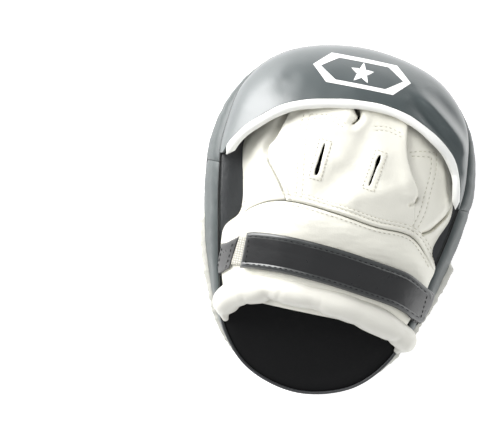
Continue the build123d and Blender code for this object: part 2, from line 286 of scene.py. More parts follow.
BORDER_ROWS = [
    evenly([(-36, 71), (-36.5, 60), (-33.5, 37), (-29.5, 11)], 60),
    evenly([(-31.5, 72), (-32, 62), (-29, 37), (-25, 10)], 60),
    evenly([(-31.5, 72), (-16, 73.5), (-4, 69)], 30),
    evenly([(-29, 69), (-17, 70), (-5, 66)], 30),
    evenly([(16, 72), (26, 73.5), (37, 71)], 30),
    evenly([(17, 69), (26, 70.5), (38, 68)], 30),
    evenly([(45, 59), (55, 62), (66, 63.5)], 20),
    evenly([(66, 63.5), (67.5, 50), (66.2, 33), (65, 18), (61.5, 5)], 60),
    evenly([(47, 56.5), (55, 58), (62.5, 59.3)], 20),
    evenly([(62.5, 59.3), (63.3, 48), (62.2, 33), (60.8, 18), (57.5, 5)], 60),
]
border_distances = [distance_to([tuple(p) for p in row]) for row in BORDER_ROWS]


def glove_relief(x, y, panel=None):
    """How far the soft leather stands off the plain form of the pocket, on a named panel or the top one."""
    seam = near_cuff_seam(x, y)
    if y <= cuff_y(x):
        below = cuff_y(x) - y
        rise = -1.3 * bump(seam, 0.8) + 0.5 * bump(seam - 1.9, 0.9) + 0.9 * bump(seam - 9, 7.0)
        rise += 1.2 * bump(below - 13, 8) - 1.3 * bump(near_strap(x, y), 11.0)
        return rise + 0.6 * rough(x, y * 2.2, 20.0, 5.2) + 0.25 * rough(x * 0.6, y * 2.5, 6.0, 2.2)
    rise = -1.3 * bump(seam, 0.8) + 0.9 * bump(seam - 2.3, 1.2) - 0.5 * bump(seam - 4.2, 0.7)
    rise += 0.45 * bump(seam - 5.4, 0.9) - 0.35 * bump(seam - 6.6, 0.6)
    fold = near_fold(x, y)
    thumb = near_thumb_edge(x, y)
    fold_part = ease((y - 20) / 9)
    thumb_part = 0.35 + 0.65 * ease((y - 30) / 14)
    if panel is None:
        panel = "thumb" if x < thumb_x(y) else "back" if x < fold_line_x(y) else "side"
    if panel == "thumb":
        rise -= 2.6 * ease((x - thumb_x(y)) / 1.2)
        slit = ease((y - 10) / 5) * (1 - ease((y - 30) / 6))
        rise += -4.6 * thumb_part * bump(thumb, 4.2) - 0.6 * bump(thumb, 1.2) - 2.6 * slit * bump(thumb, 0.9)
        rise += 1.6 * bump(thumb - 13, 8) * ease((y - 10) / 20) + 0.5 * rough(x, y, 18.0, 11.0)
    elif panel == "back":
        rise += (2.2 * bump(thumb - 2.0, 6.0) - 0.9 * max(1 - thumb / 1.1, 0.0) ** 2) * thumb_part
        rise += (1 - thumb_part) * (1.3 * bump(thumb - 1.6, 1.2) - 0.9 * bump(thumb - 3.8, 0.8))
        rise += (3.0 * bump(fold, 8.0) - 0.9 * max(1 - fold / 1.1, 0.0) ** 2) * fold_part
        gap = near_gap(x, y)
        width = 0.8 + 2.4 * ease((y - 72) / 16)
        rise += (-6.0 * bump(gap, width) + 1.1 * bump(gap - 5.5, 3.4)
                 - 1.3 * bump(near_knuckle_fold(x, y), 3.2))
        rise += -3.0 * bump(near_valley(x, y), 9.0) + 2.1 * bump(near_swell(x, y), 8.0)
        rise += 1.8 * bump(near_top_swell(x, y), 8.0)
    else:
        rise += -2.8 * fold_part * bump(fold, 6.0) - 2.3 * ease((fold_line_x(y) - x) / 1.2)
    rise -= 2.6 * bump(near_curl(x, y), 1.1)
    pleat = near_pleat(x, y)
    rise += -5.5 * bump(pleat, 1.0) + 2.0 * bump(pleat - 4.5, 3.4)
    if x > 60:
        rise += 1.5 * bump(near_side_fold(x, y), 3.0) - 1.3 * bump(near_side_fold(x - 6, y), 3.0)
    for near in border_distances:
        rise -= 0.42 * bump(near(x, y), 0.75)
    return rise + 0.75 * rough(x, y, 24.0, 3.1) + 0.3 * rough(x, y, 9.0, 7.7)


def pocket_point(side, y, lift=0.0, flare=0.0, relief=1.0, panel=None):
    """Point over the hand pocket. side runs from -1 at the thumb's edge to 1 at the other."""
    left, right, height = pocket_size(y)
    half = (left if side < 0 else right + flare) + lift
    across = abs(math.sin(side * math.pi / 2))
    x = math.copysign(half * across, side)
    crown = (height + lift) * max(1 - across**2.3, 0.0) ** 0.88
    foot = ease(crown / 9.0)
    stand = relief * foot * glove_relief(x, y, panel) if relief else 0.0
    return Vector((x, y, back_z(y) + 0.6 + crown + stand))


def side_at(x, y, lift=0.0, flare=0.0):
    """The side, -1 to 1, of a plan position over the pocket."""
    left, right, _ = pocket_size(y)
    half = (left if x < 0 else right + flare) + lift
    return math.asin(min(max(x / half, -1.0), 1.0)) * 2 / math.pi


def on_glove(x, y, lift=0.0, flare=0.0, relief=1.0):
    """Point over the hand pocket above a plan position."""
    return pocket_point(side_at(x, y, lift, flare), y, lift, flare, relief)


def normal_to(surface, x, y, reach):
    """Normal of a surface over a plan position, from points a little to each side; upright past its edge."""
    along_x = surface(x + reach, y) - surface(x - reach, y)
    along_y = surface(x, y + reach) - surface(x, y - reach)
    normal = along_x.cross(along_y)
    return normal.normalized() if normal.length > 1e-9 else Vector((0, 0, 1))


def glove_normal(x, y):
    return normal_to(on_glove, x, y, 0.6)


# ---- Hood surface ---------------------------------------------------------------------------
HOOD_TURN = turn_at(33.0, BACK_RADIUS)
hood_curve = evenly(HOOD_EDGE, 120)
rim_directions = []
for step in range(361):
    rim_point = pad_edge(step / 360, BACK_RADIUS, shoulder(step / 360) - 0.6)
    reach = Vector((rim_point.x - HOOD_CENTRE[0], rim_point.y - HOOD_CENTRE[1]))
    rim_directions.append((math.atan2(reach.x, reach.y), reach.length))
rim_directions.sort()
rim_reach = table_of(rim_directions)
HOOD_RIDGES = [
    ([(38, 108), (62, 91), (79, 78), (88, 69)], 3.9, 4.6),
    ([(36, 97), (56, 86), (73, 70), (84, 52)], -3.2, 5.4),
    ([(50, 112), (68, 97), (84, 84)], -1.6, 5.0),
    ([(84, 76), (90, 66), (91, 58)], -1.3, 2.6),
    ([(-84, 78), (-70, 82), (-58, 88)], -0.7, 6.0),
    ([(-50, 96), (-66, 88), (-82, 70)], 0.9, 8.0),
    ([(-36, 112), (-46, 102), (-52, 92)], -0.8, 8.0),
    ([(-20, 96), (6, 98), (30, 94)], 0.8, 8.0),
]
hood_folds = [(distance_to(line), Vector(line[0]), height, width) for line, height, width in HOOD_RIDGES]


def hood_point(x, y, lift=0.0):
    """Point on the padded hood above a plan position."""
    reach = Vector((x - HOOD_CENTRE[0], y - HOOD_CENTRE[1]))
    share = min(reach.length / rim_reach(math.atan2(reach.x, reach.y)), 1.0)
    dome = HOOD_HEIGHT * max(1 - share**2.1, 0.0) ** 0.55
    soft = ease(dome / 16.0)
    spot = Vector((x, y))
    rise = sum(height * bump(near(x, y), width) * ease(((spot - first).length + 2) / 26)
               for near, first, height, width in hood_folds)
    rise += 0.9 * rough(x, y, 36.0, 1.3) + 0.14 * rough(x, y, 11.0, 4.4)
    return Vector((x, y, back_z(y) + 0.6 + dome + lift + soft * rise))


# ---- Meshes ---------------------------------------------------------------------------------
def skin(across, along, place):
    """A grid whose vertices are moved onto a surface; place takes two shares from 0 to 1."""
    bm = bmesh.new()
    bmesh.ops.create_grid(bm, x_segments=across, y_segments=along, size=0.5)
    for vert in bm.verts:
        vert.co = Vector(place(vert.co.x + 0.5, vert.co.y + 0.5)) * MM
    return bm


def closed(bm):
    """Welds a wrapped grid into one closed skin that faces outwards."""
    bmesh.ops.remove_doubles(bm, verts=bm.verts, dist=0.02 * MM)
    bmesh.ops.dissolve_degenerate(bm, edges=bm.edges, dist=0.005 * MM)
    bmesh.ops.recalc_face_normals(bm, faces=bm.faces)
    if bm.calc_volume(signed=True) < 0:
        bmesh.ops.reverse_faces(bm, faces=bm.faces)
    return bm


def facing(bm, way):
    """Turns an open skin so that its faces look along way, a function of the face's centre."""
    bmesh.ops.remove_doubles(bm, verts=bm.verts, dist=0.02 * MM)
    bm.normal_update()
    score = sum(face.normal.dot(way(face.calc_center_median())) * face.calc_area() for face in bm.faces)
    if score < 0:
        bmesh.ops.reverse_faces(bm, faces=bm.faces)
    return bm


def upward(_centre):
    return Vector((0, 0, 1))


def sideways(centre):
    return Vector((centre.x, centre.y, 0)).normalized()


def finish_piece(bm, name, finish, body="mitt", nodes=(), wall=0.0):
    """Turns a bmesh into a finished piece that rides on a body and stands for CAD nodes."""
    mesh = bpy.data.meshes.new(name)
    bm.to_mesh(mesh)
    bm.free()
    mesh.polygons.foreach_set("use_smooth", [True] * len(mesh.polygons))
    mesh.materials.append(FINISHES[finish])
    obj = bpy.data.objects.new(name, mesh)
    bpy.context.scene.collection.objects.link(obj)
    if wall:
        thickness = obj.modifiers.new("wall", "SOLIDIFY")
        thickness.thickness = wall * MM
        thickness.offset = -1.0
    if body:
        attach(obj, body)
    if nodes:
        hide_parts(*nodes)
    return obj


def tube(path, radius_at, sides=16):
    """A closed round cord along a list of points, radius_at(share, angle) thick."""
    count = len(path)
    frames = []
    for index, point in enumerate(path):
        ahead = path[min(index + 1, count - 1)]
        behind = path[max(index - 1, 0)]
        run = (ahead - behind).normalized()
        side = run.cross(Vector((0, 0, 1)))
        side = side.normalized() if side.length > 1e-6 else Vector((1, 0, 0))
        frames.append((point, side, side.cross(run).normalized()))

    def place(share, turn):
        index = round(share * (count - 1))
        point, side, top = frames[index]
        angle = turn * math.tau
        radius = radius_at(share, angle)
        return point + side * math.cos(angle) * radius + top * math.sin(angle) * radius

    return closed(skin(count - 1, sides, place))


def stitched(points, surface, normal_at, bm, length=2.6, gap=1.3, thick=0.42):
    """Stitches along a plan curve laid on a surface."""
    row_length = sum((b - a).length for a, b in zip(points, points[1:]))
    count = max(int(row_length / (length + gap)), 1)
    for index in range(count):
        start = index / count
        stop = start + length / (length + gap) / count
        near, middle, far = (surface(*part_way(points, share)) for share in (start, (start + stop) / 2, stop))
        run = far - near
        if run.length < 0.2:
            continue
        run.normalize()
        up = normal_at(*part_way(points, (start + stop) / 2))
        side = run.cross(up).normalized()
        up = side.cross(run).normalized()
        turn = Matrix((run, side, up)).transposed().to_4x4()
        size = Matrix.Diagonal(((far - near).length / 2 * MM, thick * MM, thick * 0.8 * MM, 1.0))
        spot = Matrix.Translation((middle + up * thick * 0.2) * MM)
        bmesh.ops.create_uvsphere(bm, u_segments=6, v_segments=5, radius=1.0, matrix=spot @ turn @ size)


def part_way(points, share):
    """Point at a share of the way through a list of points."""
    where = share * (len(points) - 1)
    index = min(int(where), len(points) - 2)
    return points[index].lerp(points[index + 1], where - index)


def beside(points, offset):
    """The same curve moved sideways in plan, to its left for a positive offset."""
    moved = []
    for index, point in enumerate(points):
        run = points[min(index + 1, len(points) - 1)] - points[max(index - 1, 0)]
        run.normalize()
        moved.append(Vector((point.x - run.y * offset, point.y + run.x * offset)))
    return moved


# ---- Materials ------------------------------------------------------------------------------
CLOUD_SIZE = 60.0
WAVE_TURN = 6.283


def tint(code, gain=1.0):
    """A linear colour from an sRGB hex code, made a little darker or lighter by gain."""
    parts = [min(int(code[k : k + 2], 16) / 255 * gain, 1.0) for k in (1, 3, 5)]
    linear = [p / 12.92 if p <= 0.04045 else ((p + 0.055) / 1.055) ** 2.4 for p in parts]
    return (*linear, 1.0)


def put(tree, kind, inputs, **settings):
    """Adds a node with its settings; each input is a value or another node's output."""
    node = tree.nodes.new(kind)
    for key, value in settings.items():
        setattr(node, key, value)
    for key, value in inputs.items():
        if isinstance(value, bpy.types.NodeSocket):
            tree.links.new(value, node.inputs[key])
        else:
            node.inputs[key].default_value = value
    return node


def new_material(name):
    """An empty material, its node tree and the object coordinates in it."""
    material = bpy.data.materials.new(name)
    material.use_nodes = True
    tree = material.node_tree
    tree.nodes.clear()
    return material, tree, put(tree, "ShaderNodeTexCoord", {}).outputs["Object"]


def shaded(tree, pattern, colour, low, high):
    """One colour made a little darker and lighter by a pattern."""
    return put(tree, "ShaderNodeMix", {"Factor": pattern, "A": tint(colour, low), "B": tint(colour, high)},
               data_type="RGBA").outputs["Result"]


def raised(tree, height, depth, strength=1.0, under=None, **settings):
    """Bump of a depth in millimetres, laid over another bump if one is given."""
    inputs = {"Height": height, "Strength": strength, "Distance": depth * MM}
    if under:
        inputs["Normal"] = under
    return put(tree, "ShaderNodeBump", inputs, **settings).outputs["Normal"]


def surfaced(material, tree, inputs):
    """Gives a material its surface and returns it."""
    shader = put(tree, "ShaderNodeBsdfPrincipled", inputs)
    put(tree, "ShaderNodeOutputMaterial", {"Surface": shader.outputs["BSDF"]})
    return material


def coated_leather(name, colour, roughness, grain=1.1, depth=0.12, crease=9.0, crease_depth=0.25,
                   coat=0.0, specular=0.5, spread=0.06):
    """Polyurethane-coated leather cloth: a pebbled skin with soft creases and a slight bloom."""
    material, tree, place = new_material(name)
    pebble = put(tree, "ShaderNodeTexVoronoi", {"Vector": place, "Scale": 1 / (grain * MM)}, feature="F1")
    creases = put(tree, "ShaderNodeTexNoise", {
        "Vector": place, "Scale": 1 / (crease * MM), "Detail": 4.0, "Roughness": 0.55, "Distortion": 0.6,
    }).outputs["Fac"]
    cloud = put(tree, "ShaderNodeTexNoise", {"Vector": place, "Scale": 1 / (CLOUD_SIZE * MM), "Detail": 3.0})
    gloss = put(tree, "ShaderNodeMapRange", {
        "Value": creases, "To Min": roughness - 0.05, "To Max": roughness + 0.07,
    })
    soft = raised(tree, creases, crease_depth)
    return surfaced(material, tree, {
        "Base Color": shaded(tree, cloud.outputs["Fac"], colour, 1 - spread, 1 + spread),
        "Roughness": gloss.outputs["Result"],
        "Normal": raised(tree, pebble.outputs["Distance"], depth, under=soft),
        "IOR": 1.5, "Specular IOR Level": specular, "Coat Weight": coat, "Coat Roughness": 0.32,
    })


def woven_cloth(name, colour, thread, depth, roughness=0.85, sheen=0.2, spread=0.15):
    """Woven or knitted tape: threads crossing at a right angle, drawn as wide as they show."""
    material, tree, place = new_material(name)
    warp, weft = (
        put(tree, "ShaderNodeTexWave", {
            "Vector": place, "Scale": 1 / (thread * MM * WAVE_TURN), "Distortion": 0.8,
        }, bands_direction=way).outputs["Fac"]
        for way in "XY"
    )
    weave = put(tree, "ShaderNodeMath", {0: warp, 1: weft}, operation="MULTIPLY").outputs["Value"]
    # The raised threads are drawn lighter and the dips between them darker: painted shade.
    return surfaced(material, tree, {
        "Base Color": shaded(tree, weave, colour, 1 - spread, 1 + spread), "Roughness": roughness,
        "Normal": raised(tree, weave, depth), "Sheen Weight": sheen, "Sheen Roughness": 0.5,
    })


def cut_foam(name, colour, cell):
    """Sliced closed-cell foam: tiny open cells over the cut face."""
    material, tree, place = new_material(name)
    cells = put(tree, "ShaderNodeTexVoronoi", {"Vector": place, "Scale": 1 / (cell * MM)},
                feature="F1").outputs["Distance"]
    return surfaced(material, tree, {
        # The cells are drawn darker where the bump sinks: painted shade in their hollows.
        "Base Color": shaded(tree, cells, colour, 1.06, 0.9), "Roughness": 0.9,
        "Normal": raised(tree, cells, 0.3, invert=True),
    })


def spun_thread(name, colour):
    """Twisted polyester thread: fine diagonal ply, half a millimetre a turn."""
    material, tree, place = new_material(name)
    ply = put(tree, "ShaderNodeTexWave", {"Vector": place, "Scale": 1 / (0.5 * MM * WAVE_TURN)},
              bands_direction="DIAGONAL").outputs["Fac"]
    return surfaced(material, tree, {
        # The ply is drawn lighter on its raised twist and darker in its grooves: painted shade.
        "Base Color": shaded(tree, ply, colour, 0.9, 1.1), "Roughness": 0.6,
        "Normal": raised(tree, ply, 0.08, strength=0.8),
    })


FINISHES = {}


def make_finishes(colours):
    """Every finish of the mitt, named for what it is and how it is made."""
    FINISHES.update(
        # Pebbled matte coat, pressed on cloth: dark and quiet, with no clear highlight.
        strike=coated_leather("matte_pu_strike_face", colours.strike, 0.62, grain=1.3, depth=0.10),
        # Ink screened over the same pebble: flat and pale, a little smoother than the leather round it.
        target=coated_leather("screen_printed_pale_ink", colours.target, 0.5, grain=1.3, depth=0.06),
        # Smooth calendered coat pulled over foam: broad grey sheen with long shallow puckers.
        gusset=coated_leather("smooth_black_pu_gusset", colours.gusset, 0.42, grain=0.9, depth=0.05,
                              crease=14.0, crease_depth=0.5, specular=0.8),
        # Folded white strip gathered by its seam, with short creases; its white is painted grey as painted
        # shade, which sets it off from the floor.
        band=coated_leather("white_pu_edge_band_painted_shade", colours.band, 0.45, crease=6.0, crease_depth=0.8),
        # Deep matte grain: nearly black, and it swallows the light.
        back=coated_leather("matte_black_pu_back", colours.back, 0.62, grain=1.2, depth=0.10, specular=0.3),
        # The same cloth, glossier and painted a lighter grey towards the fingers: painted sheen, in cloudy
        # grey patches beside the glove.
        satin=coated_leather("black_pu_back_painted_sheen", "#2e3032", 0.42, grain=1.0, depth=0.06, crease=7.0,
                             crease_depth=0.5, specular=0.8, spread=0.2),
        # Extruded vinyl cord: a thin even line of light along the edge.
        cord=coated_leather("black_vinyl_edge_cord", "#3f4042", 0.4),
        # Soft tumbled glove leather: creamy white with faint wide creases and a low sheen.
        glove=coated_leather("soft_white_glove_leather", colours.glove, 0.46, grain=1.2, depth=0.05,
                             crease=11.0, crease_depth=0.45, spread=0.015),
        # Lacquered coat over thick padding: a wide soft highlight that falls off to near black.
        hood=coated_leather("glossy_black_pu_hood", colours.hood, 0.40, grain=0.9, depth=0.035, crease=26.0,
                            crease_depth=0.5, coat=0.7, specular=1.0),
        # Vinyl rolled round cord: smooth, the brightest white on the mitt.
        piping=coated_leather("white_vinyl_piping", colours.piping, 0.35, depth=0.02, crease=14.0,
                              crease_depth=0.25, spread=0.01),
        # Leather drawn tight round a foam core: warm white with slow dents.
        roll=coated_leather("padded_white_roll_leather", colours.roll, 0.42, depth=0.03, crease=16.0,
                            crease_depth=0.6, spread=0.015),
        # Polished coat on webbing: uneven dark gloss along its length.
        strap=coated_leather("polished_black_strap_pu", colours.strap, 0.28, grain=0.8, depth=0.03,
                             crease=12.0, crease_depth=0.35, coat=0.6, specular=0.8, spread=0.15),
        # The same coat folded over at the edge, painted paler each side of the strap: a painted highlight.
        border=coated_leather("folded_strap_border_painted_highlight", "#363838", 0.34, grain=0.8, depth=0.03, coat=0.4,
                              specular=0.9),
        # Knitted rubber and cotton: a cream grid of small bumps.
        elastic=woven_cloth("knitted_cream_elastic", colours.elastic, 0.9, 0.25),
        # Stiff nylon hooks: black, in rows that glint a little; the glint is partly painted highlight, a
        # lighter colour on the raised rows.
        hook=woven_cloth("nylon_hook_tape", "#121213", 1.1, 0.9, 0.7, 0.4, spread=0.5),
        # Brushed nylon loops: black and furry, with a grey bloom. Loops are drawn coarser than real ones.
        loop=woven_cloth("brushed_loop_tape", "#151516", 1.6, 0.7, 0.95, 0.8, spread=0.5),
        # Plain woven lining: flat black.
        lining=woven_cloth("polyester_lining", "#161618", 0.8, 0.2, 0.9, 0.3),
        # Sliced foams: dense dark, firm ivory and soft pale, each with its own cell size.
        dense=cut_foam("charcoal_strike_foam", "#343436", 0.8),
        core=cut_foam("ivory_core_foam", "#cfcabb", 0.9),
        soft=cut_foam("pale_backing_foam", "#dfd9c8", 1.2),
        # Bonded threads: dull twisted lines, sandy on the white leather and black on the strap.
        white_thread=spun_thread("white_bonded_thread", "#bdb9a9"),
        black_thread=spun_thread("black_bonded_thread", "#0d0d0f"),
        # Heat-transfer print: a smooth pale film that hides the grain.
        ink=coated_leather("white_transfer_print", colours.badge, 0.4, depth=0.02, spread=0.01),
    )


# ---- Piece builders -------------------------------------------------------------------------
def strike_face_z(y):
    """Height of the hollow strike face, which rests on the table at both ends."""
    return max(arch_z(y, STRIKE_RADIUS), 0.0)


def build_strike_cover():
    """Hollow strike face, rounded rim and turned-up side, in one skin."""

    def place(turn, share):
        if share < 0.72:
            ring = share / 0.72
            edge = pad_edge(turn, STRIKE_RADIUS, RIM_ROUNDING)
            x, y = edge.x * ring, edge.y * ring
            gap = (1 - ring) * Vector((edge.x, edge.y)).length
            heel = ease((20 - y) / 90)
            groove = 1.5 * bump(gap - 6.0, 2.2) * (0.35 + 0.65 * heel)
            swell = -1.1 * bump(gap - 0.5, 4.0)
            return (x, y, max(strike_face_z(y) + groove + swell, 0.0))
        angle = (share - 0.72) / 0.2 * math.pi / 2
        if share <= 0.92:
            inset = RIM_ROUNDING * (1 - math.sin(angle))
            radius = STRIKE_RADIUS + RIM_ROUNDING * (1 - math.cos(angle))
            edge = pad_edge(turn, radius, inset)
            edge = edge + wall_lean(radius, turn)
            return (edge.x, edge.y, max(edge.z, RIM_ROUNDING * (1 - math.cos(angle)) * 0.6))
        climb = (share - 0.92) / 0.08
        radius = STRIKE_RADIUS + RIM_ROUNDING + (RIM_RADIUS - STRIKE_RADIUS - RIM_ROUNDING) * climb
        return pad_edge(turn, radius, 0.4 * climb) + wall_lean(radius, turn)

    bm = skin(220, 72, place)
    bm = facing(bm, lambda c: Vector((c.x * 0.3, c.y * 0.3, -0.05)))
    finish_piece(bm, "strike_cover_skin", "strike",
                 nodes=["strike_cover"], wall=1.3)


def build_target(sizes):
    """Printed disc lying just under the strike face."""

    def place(turn, share):
        angle = turn * math.tau
        reach = sizes.target_radius / MM * share
        x = TARGET_CENTRE[0] + reach * math.cos(angle)
        y = TARGET_CENTRE[1] + reach * math.sin(angle)
        return (x, y, strike_face_z(y) - 0.25 * ease((1 - share) * 12) + 0.05)

    bm = facing(skin(96, 14, place), lambda c: Vector((0, 0, -1)))
    finish_piece(bm, "target_disc_print", "target", nodes=["target_disc"])


def build_foam(name, finish, low, high, node):
    """One slab of the pad's foam, following the arch."""

    def place(turn, share):
        if share < 0.4:
            edge = pad_edge(turn, low, FOAM_INSET)
            ring = share / 0.4
            return (edge.x * ring, edge.y * ring, max(arch_z(edge.y * ring, low), FOAM_FLOOR_Z))
        if share <= 0.6:
            climb = (share - 0.4) / 0.2
            inset = FOAM_INSET - 0.5 * math.sin(climb * math.pi)
            edge = pad_edge(turn, low + (high - low) * climb, inset)
            return (edge.x, edge.y, max(edge.z, FOAM_FLOOR_Z))
        edge = pad_edge(turn, high, FOAM_INSET)
        ring = (1 - share) / 0.4
        return (edge.x * ring, edge.y * ring, max(arch_z(edge.y * ring, high), FOAM_FLOOR_Z))

    finish_piece(closed(skin(96, 20, place)), name, finish, nodes=[node])


def build_gusset(name, node, seed, finger_end):
    """A length of side wall, slightly swollen between its seams and pinched at its ends."""
    bottom = RIM_RADIUS + 0.2

    def place(share, climb):
        bend = min(max((climb - 0.68) / 0.32, 0.0), 1.0) * math.pi / 2
        radius = bottom + (BACK_RADIUS - 6.0 - bottom) * min(climb / 0.68, 1.0) + 5.8 * math.sin(bend)
        seam_right = turn_at(GUSSET_SEAM_Y, radius)
        if finger_end:
            turn = -seam_right + 2 * seam_right * share
        else:
            turn = seam_right + (1 - 2 * seam_right) * share
        edge = pad_edge(turn, radius, (shoulder(turn) + 0.2) * (1 - math.cos(bend)))
        length = min(share, 1 - share) * 260.0
        swell = 2.3 * math.sin(climb * math.pi) ** 0.7 - 1.1 * bump(length, 2.2)
        swell += (0.8 * rough(edge.x, edge.y, 16.0, seed) + 0.5 * rough(edge.x * 1.4, edge.y, 6.0, seed + 2)
                  ) * math.sin(climb * math.pi)
        swell = swell * math.cos(bend) - 0.4 * bump((1 - climb) * 28, 1.2)
        return edge + outward(edge) * swell + wall_lean(radius, turn)

    bm = facing(skin(260, 24, place), sideways)
    finish_piece(bm, name, "gusset", nodes=[node], wall=1.2)


def build_white_band():
    """Puckered white band under the side wall, gathered to nothing at both ends."""
    run = 460

    def place(share, climb):
        radius = RIM_RADIUS + 0.1 + (BAND_RADIUS + 0.6 - RIM_RADIUS) * climb
        start = turn_at(BAND_END_Y, radius)
        turn = start + (1 - 2 * start) * share
        edge = pad_edge(turn, radius)
        pucker = 1.1 * rough(share * run, climb * 6, 5.5, 2.0) + 0.6 * rough(share * run, climb * 5, 2.6, 6.0)
        ends = ease(min(share, 1 - share) * run / 9.0)
        swell = 0.4 + (4.6 + pucker) * math.sin(climb * math.pi) ** 0.8 * (0.25 + 0.75 * ends)
        return edge + outward(edge) * swell + wall_lean(radius, turn)

    bm = facing(skin(420, 8, place), sideways)
    finish_piece(bm, "white_side_band_skin", "band", nodes=["white_side_band"], wall=1.0)


def build_back_panel():
    """Back panel, rolled down at its sewn edge, with a lighter, glossier part towards the fingers that is
    painted sheen.
    """

    def place(turn, share):
        edge = pad_edge(turn, BACK_RADIUS, shoulder(turn))
        ring = 1 - (1 - share) ** 1.3
        x, y = edge.x * ring, edge.y * ring
        gap = (1 - ring) * Vector((edge.x, edge.y)).length
        roll = -0.6 * bump(gap, 1.5) + 0.8 * bump(gap - 7, 5)
        wave = 0.5 * rough(x, y, 40.0, 8.0)
        return (x, y, back_z(y) + roll + wave * ease(gap / 14) - 0.4)

    bm = facing(skin(200, 56, place), upward)
    # Faces towards the fingers take the lighter back finish: painted sheen.
    for face in bm.faces:
        face.material_index = 1 if face.calc_center_median().y > PAINTED_SHEEN_FROM_Y * MM else 0
    piece = finish_piece(bm, "back_panel_skin", "back",
                         nodes=["back_panel"], wall=1.2)
    piece.data.materials.append(FINISHES["satin"])


def edge_cord(name, finish, nodes, first, last, steps, lift, inset, radius, sides):
    """A thin closed cord along the pad's back edge between two turns."""
    path = []
    for step in range(steps + 1):
        turn = first + (last - first) * step / steps
        path.append(pad_edge(turn, BACK_RADIUS + lift, shoulder(turn) - inset))
    bm = tube(path, lambda share, _: radius * min(1.0, 30 * min(share, 1 - share) + 0.02), sides)
    finish_piece(bm, name, finish, nodes=nodes)


def build_edge_cords():
    """Wrist edge piping, and the dark sewn line where the back panel and hood meet the side wall."""
    heel = turn_at(EDGE_CORD_Y, BACK_RADIUS)
    edge_cord("wrist_edge_cord", "cord", ["wrist_edge_piping"], heel, 1 - heel, steps=140,
              lift=0.2, inset=0.2, radius=1.15, sides=10)
    edge_cord("back_edge_seam", "black_thread", [], -heel, heel, steps=260,
              lift=0.1, inset=0.3, radius=0.55, sides=8)


def build_palm():
    """Padded palm ball and the lining round it."""

    def ball(turn, share):
        angle = turn * math.tau
        bulge = math.sin(share * math.pi / 2)
        x = 26.0 * bulge * math.cos(angle)
        y = 12.0 + 33.0 * bulge * math.sin(angle)
        return (x, y, back_z(y) + 0.4 + 8.6 * math.cos(share * math.pi / 2) ** 0.8)

    def lining(across, along_y):
        x = -46 + 92 * across
        y = -64 + 144 * along_y
        reach = Vector((x / 28.5, (y - 12) / 35.5)).length
        dome = 9.8 * max(1 - reach**2, 0.0) ** 0.5 if reach < 1 else 0.0
        return (x, y, back_z(y) + 1.4 + dome + 0.25 * rough(x, y, 12.0, 5.0))

    finish_piece(facing(skin(48, 14, ball), upward), "palm_ball_pad", "soft",
                 nodes=["palm_ball"], wall=0.5)
    cloth = finish_piece(facing(skin(70, 100, lining), upward), "palm_lining_cloth", "lining",
                         nodes=["palm_lining"], wall=0.6)


def build_finger_stalls():
    """Four leather finger tubes inside the hood."""
    for name, centre in (("index", -33.0), ("middle", -11.0), ("ring", 11.0), ("little", 33.0)):

        def place(turn, share):
            angle = turn * math.tau
            y = 80.0 + 22.5 * share
            pinch = 1.0 - 0.10 * math.sin(share * math.pi)
            x = centre + 9.4 * pinch * math.cos(angle)
            return (x, y, back_z(y) + 10.4 + 7.6 * pinch * math.sin(angle) + 0.2 * rough(x, y, 5.0, centre))

        bm = skin(32, 14, place)
        facing(bm, lambda c: Vector((c.x - centre * MM, 0, c.z - back_z(90) * MM - 0.0104)))
        finish_piece(bm, f"{name}_finger_tube", "glove",
                     nodes=[f"{name}_finger_stall"], wall=1.2)


def seam_height(x_at, offset):
    """Height y at which a column of the glove meets the cuff seam; x_at gives the column's x at y."""
    low, high = -62.0, 24.0
    for _ in range(24):
        middle = (low + high) / 2
        if middle < cuff_y(x_at(middle)) + offset:
            low = middle
        else:
            high = middle
    return low


def plain_x(side, y):
    """The x of a side over the pocket's plain form."""
    left, right, _ = pocket_size(y)
    return math.sin(side * math.pi / 2) * (left if side < 0 else right)


def panel_grid(across, along_y, left_at, right_at, panel):
    """A leather panel over the pocket between two edges, from the cuff seam to under the hood."""
    feet = {}

    def place(u, v):
        def side(y):
            return left_at(y) + (right_at(y) - left_at(y)) * u

        key = round(u, 6)
        if key not in feet:
            feet[key] = seam_height(lambda y: plain_x(side(y), y), 0.15)
        y = feet[key] + (POCKET_TOP_Y - feet[key]) * v
        return pocket_point(side(y), y, panel=panel)

    return facing(skin(across, along_y, place), upward)


def slot_width(name, up):
    """Half width of a vent slot at up, from -1 at its wrist end to 1 at its finger end."""
    if name == "left":
        return 1.1 - 0.45 * up + 0.35 * bump(up + 0.75, 0.3) + 0.15 * bump(up - 0.8, 0.2)
    return 0.55 + 0.95 * bump(up - 0.72, 0.42) + 0.25 * bump(up + 0.85, 0.16)


def build_hand_back():
    """Leather over the back of the hand, cut open at the two vents and the gap under the hood."""
    bm = panel_grid(
        170, 150,
        lambda y: side_at(thumb_x(y) + 0.15, y),
        lambda y: side_at(fold_line_x(y) - 0.05, y),
        "back",
    )
    slots = []
    for face in bm.faces:
        centre = face.calc_center_median() / MM
        for _, x, y, lean in VENTS:
            turn = math.radians(lean)
            dx = (centre.x - x) * math.cos(turn) + (centre.y - y) * math.sin(turn)
            dy = -(centre.x - x) * math.sin(turn) + (centre.y - y) * math.cos(turn)
            if (dx / 3.0) ** 2 + (dy / 13.2) ** 2 < 1:
                slots.append(face)
        if centre.y > 73 and near_gap(centre.x, centre.y) < 0.3 + 1.2 * ease((centre.y - 73) / 9):
            slots.append(face)
    bmesh.ops.delete(bm, geom=list(set(slots)), context="FACES")
    finish_piece(bm, "hand_back_leather", "glove", nodes=["hand_back_panel"], wall=1.5)


